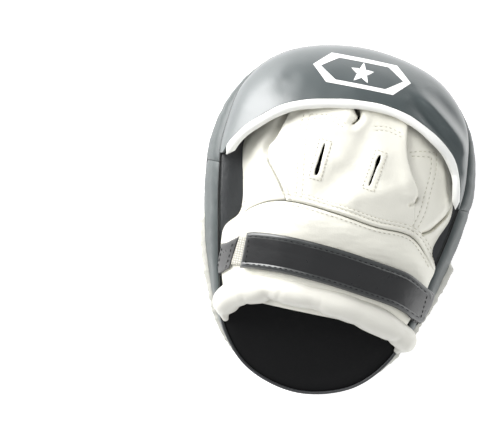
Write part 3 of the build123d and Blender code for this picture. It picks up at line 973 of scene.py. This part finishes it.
def build_side_panels():
    """Leather on the thumb side and the little-finger side, each tucked under the hand back."""
    bm = panel_grid(
        60, 130,
        lambda y: -1.0,
        lambda y: side_at(thumb_x(y) + 1.6 + 1.6 * ease((y - 30) / 14), y),
        "thumb",
    )
    finish_piece(bm, "thumb_leather", "glove", nodes=["thumb_panel"], wall=1.5)
    bm = panel_grid(
        80, 150,
        lambda y: side_at(fold_line_x(y) - 1.6 - 1.6 * ease((y - 20) / 9), y),
        lambda y: 1.0,
        "side",
    )
    finish_piece(bm, "little_finger_leather", "glove",
                 nodes=["little_finger_panel"], wall=1.5)


def build_cuff():
    """Broad wrist band between the roll and the cuff seam."""
    feet = {}

    def place(u, v):
        side = -1 + 2 * u
        key = round(u, 6)
        if key not in feet:
            feet[key] = seam_height(lambda y: plain_x(side, y), -0.15)
        return pocket_point(side, -71 + (feet[key] + 71) * v)

    bm = facing(skin(190, 70, place), upward)
    finish_piece(bm, "wrist_cuff_leather", "glove", nodes=["wrist_cuff"], wall=1.6)


def leaned(x, y, lean, spot):
    """A spot in a vent's own lines, turned by its lean and moved to x, y."""
    turn = math.radians(lean)
    return Vector((x + spot.x * math.cos(turn) - spot.y * math.sin(turn),
                   y + spot.x * math.sin(turn) + spot.y * math.cos(turn)))


def build_vent_patches():
    """Double-stitched patches, each with a slot whose lips turn in."""
    for name, x, y, lean in VENTS:

        def place(turn, share):
            angle = turn * math.tau
            cos, sin = math.cos(angle), math.sin(angle)
            up = math.copysign(abs(sin) ** 0.9, sin)
            slot = Vector((slot_width(name, up) * math.copysign(abs(cos) ** 0.6, cos), 11.6 * up))
            edge = Vector((5.3 * math.copysign(abs(cos) ** 0.22, cos),
                           15.8 * math.copysign(abs(sin) ** 0.22, sin)))
            spot = leaned(x, y, lean, slot.lerp(edge, share))
            lift = 0.42 * ease(share * 5) * ease((1 - share) * 6) - 0.9 * (1 - ease(share * 7)) - 0.1
            lift -= 0.22 * bump(share - 0.8, 0.06)
            return on_glove(spot.x, spot.y, lift)

        bm = facing(skin(144, 16, place), upward)
        finish_piece(bm, f"{name}_vent_leather", "glove",
                     nodes=[f"{name}_vent_patch"], wall=0.8)


def build_roll(sizes):
    """Padded wrist roll with pinched creases and its foam core."""
    line = [
        (-63, -91, 0.5), (-66, -83, 5.0), (-64.5, -74, 13.0), (-56, -66, 20.5), (-40, -60.5, 27.0),
        (-20, -58, 31.5), (0, -59, 33), (24, -61, 31), (48, -67, 25), (64, -73, 17), (71.5, -79, 10.5),
        (67, -88, 1.5),
    ]
    points = [(x, y, back_z(y) + lift) for x, y, lift in line]
    path = evenly(points, 220)
    creases = [
        (0.215, 0.8, 0.012), (0.335, 3.0, 0.026), (0.37, 0.9, 0.012), (0.49, 2.0, 0.03),
        (0.53, 0.7, 0.012), (0.66, 0.7, 0.02), (0.84, 1.2, 0.016),
    ]

    def cover_radius(share, angle):
        ends = ease(share / 0.115) * ease((1 - share) / 0.10)
        radius = 2.2 + (sizes.roll_radius / MM - 2.2 - 1.2 * ease((share - 0.7) / 0.2)) * ends
        low_side = 0.25 + 0.75 * max(math.cos(angle), 0.0)
        for spot, depth, width in creases:
            lean = spot + 0.014 * math.sin(angle + spot * 30)
            radius -= depth * bump(share - lean, width) * ends * low_side
        swell = noise.noise(Vector((share * 9, math.cos(angle) * 0.8, math.sin(angle) * 0.8)))
        radius += ends * 0.8 * swell
        tip = min(share, 1 - share)
        return radius * min(1.0, (tip / 0.006) ** 0.5) if tip < 0.006 else radius

    bm = tube(path, cover_radius, sides=44)
    finish_piece(bm, "wrist_roll_leather", "roll",
                 nodes=["wrist_roll_cover"])
    core = tube(path[30:-26], lambda share, _: 7.0 * min(1.0, 12 * min(share, 1 - share) + 0.02), sides=16)
    finish_piece(core, "wrist_roll_core", "soft", nodes=["wrist_roll_foam"])


def build_hood(sizes):
    """Padded finger hood and its fat piping."""

    def place(u, v):
        turn = -HOOD_TURN + 2 * HOOD_TURN * u
        outer = pad_edge(turn, BACK_RADIUS, shoulder(turn) - 0.6)
        inner = part_way(hood_curve, u)
        inward = 1 - math.cos(v * math.pi / 2) ** 1.15
        x = outer.x + (inner.x - outer.x) * inward
        y = outer.y + (inner.y - outer.y) * inward
        return hood_point(x, y)

    bm = facing(skin(240, 110, place), lambda c: Vector((c.x, c.y - 0.035, 0.08)))
    finish_piece(bm, "finger_hood_leather", "hood",
                 nodes=["finger_hood"], wall=2.0)

    path = []
    for spot in beside(hood_curve, -3.6):
        top = hood_point(spot.x, spot.y)
        path.append(Vector((spot.x, spot.y, top.z - 0.6)))

    def cord_radius(share, angle):
        round_end = min(1.0, 40 * min(share, 1 - share) + 0.05)
        thick = sizes.piping_radius / MM - 0.5 * bump(share - 0.62, 0.16) + 0.12 * math.sin(share * 61)
        thick -= 0.7 * ease((share - 0.80) / 0.12)
        return thick * round_end * (1.0 + 0.08 * math.cos(angle))

    bm = tube(path, cord_radius, sides=24)
    finish_piece(bm, "hood_piping_roll", "piping", nodes=["hood_piping"])


def build_badge():
    """A plain printed badge on the hood: a long six-sided frame round a five-pointed star."""
    centre = Vector(BADGE_CENTRE)
    corners = [(-37, 0), (-25, 12.5), (25, 12.5), (37, 0), (25, -12.5), (-25, -12.5)]
    frame_run = []
    for start, stop in zip(corners, corners[1:] + corners[:1]):
        for step in range(20):
            frame_run.append(Vector(start).lerp(Vector(stop), step / 20))
    frame_run.append(Vector(corners[0]))

    def printed(spot):
        return hood_point(spot.x, spot.y) + normal_to(hood_point, spot.x, spot.y, 0.7) * 0.14

    def edge(u, v):
        spot = part_way(frame_run, u)
        spot = centre + spot * (1 - 0.16 * v * (1 + 0.6 * abs(spot.y) / 12.5))
        return printed(spot)

    bm = facing(skin(240, 3, edge), upward)

    def star(turn, share):
        angle = turn * math.tau + math.pi / 2
        part = (turn * 5) % 1.0
        tip, notch = 9.0, 3.9
        sharp = abs(part - 0.5) * 2
        reach = notch / (notch / tip * sharp + (1 - sharp)) if sharp < 1 else tip
        spot = centre + Vector((math.cos(angle), math.sin(angle))) * reach * share
        return printed(spot)

    other = facing(skin(60, 6, star), upward)
    mesh = bpy.data.meshes.new("badge_star")
    other.to_mesh(mesh)
    other.free()
    bm.from_mesh(mesh)
    bpy.data.meshes.remove(mesh)
    finish_piece(bm, "hood_badge_print", "ink")


# ---- Strap ----------------------------------------------------------------------------------
strap_y = table_of([(p.x, p.y) for p in evenly(STRAP_LINE, 200)])


def strap_point(x, offset, lift):
    """Point of the strap at x along it, offset across it and lift off the cuff."""
    slope = (strap_y(x + 1) - strap_y(x - 1)) / 2
    run = Vector((1, slope)).normalized()
    px, py = x - run.y * offset, strap_y(x) + run.x * offset
    flare = STRAP_FLARE * ease((x - 10) / 60)
    end = ease((x - 56) / 28)
    start = 1 - ease((x + 63) / 12)
    px += -0.26 * end * offset + start * (0.27 * offset + 0.3) + 0.15 * ease((-61.5 - x) / 4) * offset
    py -= 3.6 * end
    lift += 0.8 * rough(x, offset * 0.5, 17.0, 9.3) if lift > 2.5 else 0.0
    return on_glove(px, py, lift, flare, relief=0.35)


def band_skin(low_x, high_x, width, low_lift, high_lift, border, corner=0.0, steps=160, shift=None):
    """A closed flat band along the strap's line, with raised borders and rounded corners."""
    profile = []
    half = width / 2
    for step in range(25):
        share = step / 24
        offset = -half + width * share
        near_edge = half - abs(offset)
        raise_by = border * (ease((4.6 - near_edge) / 0.9) if near_edge < 4.6 else 0.0)
        round_off = 0.9 * bump(near_edge, 0.8)
        profile.append((offset, high_lift + raise_by - round_off))
    for step in range(13):
        share = step / 12
        profile.append((half - width * share, low_lift + (0.3 * bump(min(share, 1 - share) * width, 0.8))))

    def place(u, turn):
        x = low_x + (high_x - low_x) * u
        index = round(turn * len(profile)) % len(profile)
        offset, lift = profile[index]
        if corner:
            left = high_x - x
            if left < corner:
                limit = half - corner + math.sqrt(max(corner**2 - (corner - left) ** 2, 0.0))
                offset = min(max(offset, -limit), limit)
        if u in (0.0, 1.0):
            lift = (low_lift + high_lift) / 2 + (lift - (low_lift + high_lift) / 2) * 0.55
        if shift:
            offset += shift(x)
        return strap_point(x, offset, lift)

    bm = skin(steps, len(profile), place)
    closed(bm)
    bmesh.ops.holes_fill(bm, edges=[edge for edge in bm.edges if edge.is_boundary], sides=0)
    bmesh.ops.triangulate(bm, faces=[face for face in bm.faces if len(face.verts) > 4])
    bmesh.ops.recalc_face_normals(bm, faces=bm.faces)
    return bm


def sew_strap_row(row, lift, normal_lift, threads, length=2.4, gap=1.3):
    """Stitches along the strap's own lines at a lift, upright to its surface at normal_lift."""

    def upright(x, offset):
        return normal_to(lambda x, w: strap_point(x, w, normal_lift), x, offset, 0.8)

    stitched(row, lambda x, w: strap_point(x, w, lift), upright, threads, length=length, gap=gap, thick=0.38)


def build_strap(sizes):
    """The strap with its folded borders, hook tape and stitches, all shaped along the same line to the tip.
    """
    wide = sizes.strap_width / MM
    bm = band_skin(STRAP_LEFT_X, STRAP_RIGHT_X, wide, 3.1, 5.0, 0.0, corner=5.0, steps=190)
    parts = [finish_piece(bm, "strap_leather", "strap", body=None,
                          nodes=["strap", "strap_tip"])]
    for name, side in (("upper", 1), ("lower", -1)):
        bm = band_skin(STRAP_LEFT_X + 0.5, STRAP_RIGHT_X - 2.6, 4.2, 4.7, 5.9, 0.0, steps=170,
                       shift=lambda x: side * (wide / 2 - 2.4 - 2.2 * ease((x - STRAP_RIGHT_X + 6) / 4)))
        # Both borders take the paler border finish: a painted highlight along the folded edge.
        parts.append(finish_piece(bm, f"strap_{name}_border", "border", body=None))
    hook = band_skin(30.0, STRAP_RIGHT_X - 3.0, 22.0, 1.9, 3.0, 0.0, steps=70,
                     shift=lambda x: -4.6 * ease((x - 62) / 16))
    tape = finish_piece(hook, "strap_hook_pile", "hook", body=None,
                        nodes=["hook_tape", "tip_hook_tape"])
    threads = bmesh.new()
    for offset in (-wide / 2 + 3.3, wide / 2 - 3.3):
        first, last = STRAP_LEFT_X + 3, STRAP_RIGHT_X - 7
        row = [Vector((first + (last - first) * k / 60, offset)) for k in range(61)]
        sew_strap_row(row, 5.95, 5.0, threads, 2.7, 1.4)
    for x in (STRAP_RIGHT_X - 7.0, STRAP_LEFT_X + 3.0):
        row = [Vector((x, -9.5 + 19.0 * k / 20)) for k in range(21)]
        sew_strap_row(row, 5.1, 5.0, threads)
    sewing = finish_piece(threads, "strap_stitching", "black_thread", body=None)
    start = strap_point(STRAP_TIP_X + 0.8, 0.0, 4.0) * MM
    stop = strap_point(STRAP_TIP_X + 6.8, 0.0, 4.0) * MM
    for obj in (*parts, tape, sewing):
        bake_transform(obj)


def build_strap_fixings(sizes):
    """Anchor tab, elastic and the loop tape, all sewn to the cuff."""
    wide = sizes.strap_width / MM
    tab = band_skin(-78.0, -66.6, wide - 1.0, 0.3, 2.45, 0.2, steps=24,
                    shift=lambda x: -5.0 * ease((-62 - x) / 14))
    finish_piece(tab, "anchor_tab_leather", "strap", nodes=["strap_anchor_tab"])
    elastic = band_skin(-69.0, -57.0, wide - 3.5, 0.6, 1.9, 0.0, steps=24)
    band = finish_piece(elastic, "anchor_elastic", "elastic", body=None,
                        nodes=["strap_elastic"])
    start, end = (strap_point(x, 0, 1.5) * MM for x in (-65.0, -59.0))
    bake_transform(band)
    loop = band_skin(22.0, 79.0, 22.0, 0.3, 1.5, 0.0, steps=60)
    finish_piece(loop, "cuff_loop_pile", "loop", nodes=["loop_tape"])
    threads = bmesh.new()
    for x in (-77.0, -69.8):
        row = [Vector((x, -11.0 + 22.0 * k / 20 - 5.0 * ease((-62 - x) / 14))) for k in range(21)]
        sew_strap_row(row, 2.5, 2.5, threads)
    finish_piece(threads, "tab_stitching", "black_thread")


# ---- Stitching ------------------------------------------------------------------------------
def build_glove_stitching(sizes):
    """Double rows of white stitches along the glove's seams and round its vents."""
    threads = bmesh.new()
    seam = [p for p in evenly(CUFF_SEAM, 240) if -76 < p.x < 80]
    rows = [beside(seam, 4.2), beside(seam, 6.6), beside(seam, -2.6), *BORDER_ROWS]
    for row in rows:
        stitched(row, on_glove, glove_normal, threads,
                 length=sizes.stitch_length / MM, gap=sizes.stitch_gap / MM, thick=0.34)
    half_x, half_y = 4.45, 14.9
    corners = [(-half_x, -half_y), (half_x, -half_y), (half_x, half_y), (-half_x, half_y), (-half_x, -half_y)]
    for _, x, y, lean in VENTS:
        for start, stop in zip(corners, corners[1:]):
            row = [leaned(x, y, lean, Vector(start).lerp(Vector(stop), step / 20)) for step in range(21)]
            stitched(row, lambda x, y: on_glove(x, y, 0.3), glove_normal, threads,
                     length=1.9, gap=1.0, thick=0.32)
    finish_piece(threads, "glove_stitching", "white_thread")


# ---- Stage ----------------------------------------------------------------------------------
VIEW_AIM = Vector((-0.0609, -0.0107, 0.045))
VIEW_DISTANCE = 1.0
VIEW_TILT = (1.8, -0.4)
VIEW_ROLL = 11.5
VIEW_WIDTH = 0.3805
SENSOR_WIDTH = 36.0


def build_stage():
    """White floor, three soft lights and the camera over the mitt."""
    bm = bmesh.new()
    bmesh.ops.create_grid(bm, x_segments=2, y_segments=2, size=6.0)
    mesh = bpy.data.meshes.new("studio_floor")
    bm.to_mesh(mesh)
    bm.free()
    floor = bpy.data.objects.new("studio_floor", mesh)
    bpy.context.scene.collection.objects.link(floor)
    mesh.transform(Matrix.Translation((0, 0, -0.0005)))
    material, tree, place = new_material("white_paper_sweep")
    fibre = put(tree, "ShaderNodeTexNoise", {"Vector": place, "Scale": 900.0, "Detail": 2.0})
    shade = put(tree, "ShaderNodeMix", {
        "Factor": fibre.outputs["Fac"], "A": tint("#f9f9f8"), "B": tint("#fdfdfd"),
    }, data_type="RGBA")
    mesh.materials.append(surfaced(material, tree, {
        "Base Color": shade.outputs["Result"], "Roughness": 0.9,
        "Emission Color": tint("#ffffff"), "Emission Strength": 0.6,
    }))

    world = bpy.data.worlds.new("studio_world")
    bpy.context.scene.world = world
    world.use_nodes = True
    background = world.node_tree.nodes["Background"]
    background.inputs["Color"].default_value = tint("#f4f7fa")
    background.inputs["Strength"].default_value = 0.34

    def softbox(name, where, towards, size, watts, colour, glossy=True):
        data = bpy.data.lights.new(name, "AREA")
        data.shape = "RECTANGLE"
        data.size, data.size_y = size
        data.energy = watts
        data.color = tint(colour)[:3]
        lamp = bpy.data.objects.new(name, data)
        bpy.context.scene.collection.objects.link(lamp)
        lamp.location = where
        lamp.visible_glossy = glossy
        lamp.rotation_euler = (Vector(towards) - Vector(where)).to_track_quat("-Z", "Y").to_euler()

    softbox("left_softbox", (-1.05, 0.85, 1.1), (0, 0.02, 0.05), (1.3, 1.3), 8.0, "#fffefb")
    softbox("right_fill", (1.3, -0.2, 1.2), (0, 0, 0.05), (1.2, 1.2), 13.0, "#ffffff", glossy=False)
    softbox("low_left_strip", (-1.12, 0.62, 0.42), (0, 0.04, 0.06), (1.4, 1.4), 45.0, "#ffffff")

    data = bpy.data.cameras.new("studio_camera")
    camera = bpy.data.objects.new("studio_camera", data)
    bpy.context.scene.collection.objects.link(camera)
    tilt_x, tilt_y = (math.tan(math.radians(angle)) for angle in VIEW_TILT)
    away = Vector((tilt_x, tilt_y, 1.0)).normalized()
    camera.location = VIEW_AIM + away * VIEW_DISTANCE
    roll = math.radians(VIEW_ROLL)
    right = Vector((math.cos(roll), math.sin(roll), 0.0))
    right = (right - away * right.dot(away)).normalized()
    up = away.cross(right)
    camera.rotation_euler = Matrix((right, up, away)).transposed().to_euler()
    data.sensor_width = SENSOR_WIDTH
    data.lens = SENSOR_WIDTH * VIEW_DISTANCE / VIEW_WIDTH
    bpy.context.scene.camera = camera
    bpy.context.scene.view_settings.view_transform = "Standard"


# ---- Add-on ---------------------------------------------------------------------------------
class MittSizes(bpy.types.PropertyGroup):
    """Sizes of the trim that a maker would change"""

    target_radius: bpy.props.FloatProperty(
        name="Target radius", description="Radius of the printed target disc", default=0.0285, unit="LENGTH")
    piping_radius: bpy.props.FloatProperty(
        name="Piping radius", description="Radius of the white piping on the hood", default=0.00355,
        unit="LENGTH")
    roll_radius: bpy.props.FloatProperty(
        name="Roll radius", description="Radius of the padded wrist roll", default=0.0105, unit="LENGTH")
    strap_width: bpy.props.FloatProperty(
        name="Strap width", description="Width of the wrist strap", default=0.027, unit="LENGTH")
    stitch_length: bpy.props.FloatProperty(
        name="Stitch length", description="Length of one stitch on the glove", default=0.0023, unit="LENGTH")
    stitch_gap: bpy.props.FloatProperty(
        name="Stitch gap", description="Gap between two stitches on the glove", default=0.0012, unit="LENGTH")


class MittColours(bpy.types.PropertyGroup):
    """Colours of the leathers and prints, as sRGB hex values"""

    strike: bpy.props.StringProperty(name="Strike face", description="Strike face leather", default="#29292b")
    target: bpy.props.StringProperty(name="Target", description="Target disc print", default="#d2d2cf")
    gusset: bpy.props.StringProperty(name="Side wall", description="Side wall leather", default="#3a4242")
    back: bpy.props.StringProperty(name="Back", description="Back panel leather", default="#0e0e0f")
    glove: bpy.props.StringProperty(name="Glove", description="Glove leather", default="#e9e7dc")
    hood: bpy.props.StringProperty(name="Hood", description="Finger hood leather", default="#3a4344")
    # The white side band is given a grey colour: painted shade.
    band: bpy.props.StringProperty(name="Side band", description="White side band", default="#c6c5bd")
    piping: bpy.props.StringProperty(name="Piping", description="White piping on the hood", default="#f5f5f1")
    roll: bpy.props.StringProperty(name="Roll", description="Wrist roll leather", default="#e4e2d9")
    strap: bpy.props.StringProperty(name="Strap", description="Strap leather", default="#1b1b1c")
    elastic: bpy.props.StringProperty(name="Elastic", description="Strap elastic", default="#c9c6bc")
    badge: bpy.props.StringProperty(name="Badge", description="Printed badge on the hood", default="#f8f8f6")


class MITT_OT_finishes(bpy.types.Operator):
    """Makes the leather, thread, tape and foam finishes"""

    bl_idname = "mitt.finishes"
    bl_label = "Finishes"

    def execute(self, context):
        make_finishes(context.scene.mitt_colours)
        return {"FINISHED"}


class MITT_OT_pad(bpy.types.Operator):
    """Builds the pad: strike face, target, foam, side walls and back panel"""

    bl_idname = "mitt.pad"
    bl_label = "Pad"

    def execute(self, context):
        build_strike_cover()
        build_target(context.scene.mitt_sizes)
        build_foam("strike_foam_slab", "dense", 402.2, 412.6, "strike_foam")
        build_foam("core_foam_slab", "core", 413.6, 427.6, "core_foam")
        build_foam("backing_foam_slab", "soft", 428.6, 437.4, "backing_foam")
        build_gusset("finger_gusset_wall", "finger_end_gusset", 3.0, finger_end=True)
        build_gusset("wrist_gusset_wall", "wrist_end_gusset", 9.0, finger_end=False)
        build_white_band()
        build_back_panel()
        build_edge_cords()
        return {"FINISHED"}


class MITT_OT_palm(bpy.types.Operator):
    """Builds the palm ball, its lining and the finger stalls"""

    bl_idname = "mitt.palm"
    bl_label = "Palm and fingers"

    def execute(self, context):
        build_palm()
        build_finger_stalls()
        return {"FINISHED"}


class MITT_OT_glove(bpy.types.Operator):
    """Builds the white glove panels, vents, cuff and wrist roll"""

    bl_idname = "mitt.glove"
    bl_label = "Glove"

    def execute(self, context):
        build_hand_back()
        build_side_panels()
        build_cuff()
        build_vent_patches()
        build_roll(context.scene.mitt_sizes)
        build_glove_stitching(context.scene.mitt_sizes)
        return {"FINISHED"}


class MITT_OT_hood(bpy.types.Operator):
    """Builds the finger hood, its piping and its printed badge"""

    bl_idname = "mitt.hood"
    bl_label = "Hood"

    def execute(self, context):
        build_hood(context.scene.mitt_sizes)
        build_badge()
        return {"FINISHED"}


class MITT_OT_strap(bpy.types.Operator):
    """Builds the wrist strap, its tapes, tab and elastic"""

    bl_idname = "mitt.strap"
    bl_label = "Strap"

    def execute(self, context):
        build_strap(context.scene.mitt_sizes)
        build_strap_fixings(context.scene.mitt_sizes)
        return {"FINISHED"}


class MITT_OT_stage(bpy.types.Operator):
    """Builds the floor, lights and camera"""

    bl_idname = "mitt.stage"
    bl_label = "Stage"

    def execute(self, context):
        build_stage()
        return {"FINISHED"}


class MITT_PT_panel(bpy.types.Panel):
    """Lists the steps that build the mitt"""

    bl_idname = "MITT_PT_panel"
    bl_label = "Focus Mitt"
    bl_space_type = "VIEW_3D"
    bl_region_type = "UI"
    bl_category = "Mitt"

    def draw(self, context):
        for step in STEPS:
            self.layout.operator(step.bl_idname)
        for group in (context.scene.mitt_sizes, context.scene.mitt_colours):
            for name in group.bl_rna.properties.keys():
                if name not in ("rna_type", "name"):
                    self.layout.prop(group, name)


GROUPS = [MittSizes, MittColours]
STEPS = [
    MITT_OT_finishes, MITT_OT_pad, MITT_OT_palm, MITT_OT_glove, MITT_OT_hood, MITT_OT_strap, MITT_OT_stage,
]


def register():
    for kind in [*GROUPS, *STEPS, MITT_PT_panel]:
        bpy.utils.register_class(kind)
    bpy.types.Scene.mitt_sizes = bpy.props.PointerProperty(type=MittSizes)
    bpy.types.Scene.mitt_colours = bpy.props.PointerProperty(type=MittColours)


def unregister():
    del bpy.types.Scene.mitt_sizes
    del bpy.types.Scene.mitt_colours
    for kind in reversed([*GROUPS, *STEPS, MITT_PT_panel]):
        bpy.utils.unregister_class(kind)


def main():
    register()
    bpy.ops.mitt.finishes()
    bpy.ops.mitt.pad()
    bpy.ops.mitt.palm()
    bpy.ops.mitt.glove()
    bpy.ops.mitt.hood()
    bpy.ops.mitt.strap()
    bpy.ops.mitt.stage()


if __name__ == "__main__":
    main()
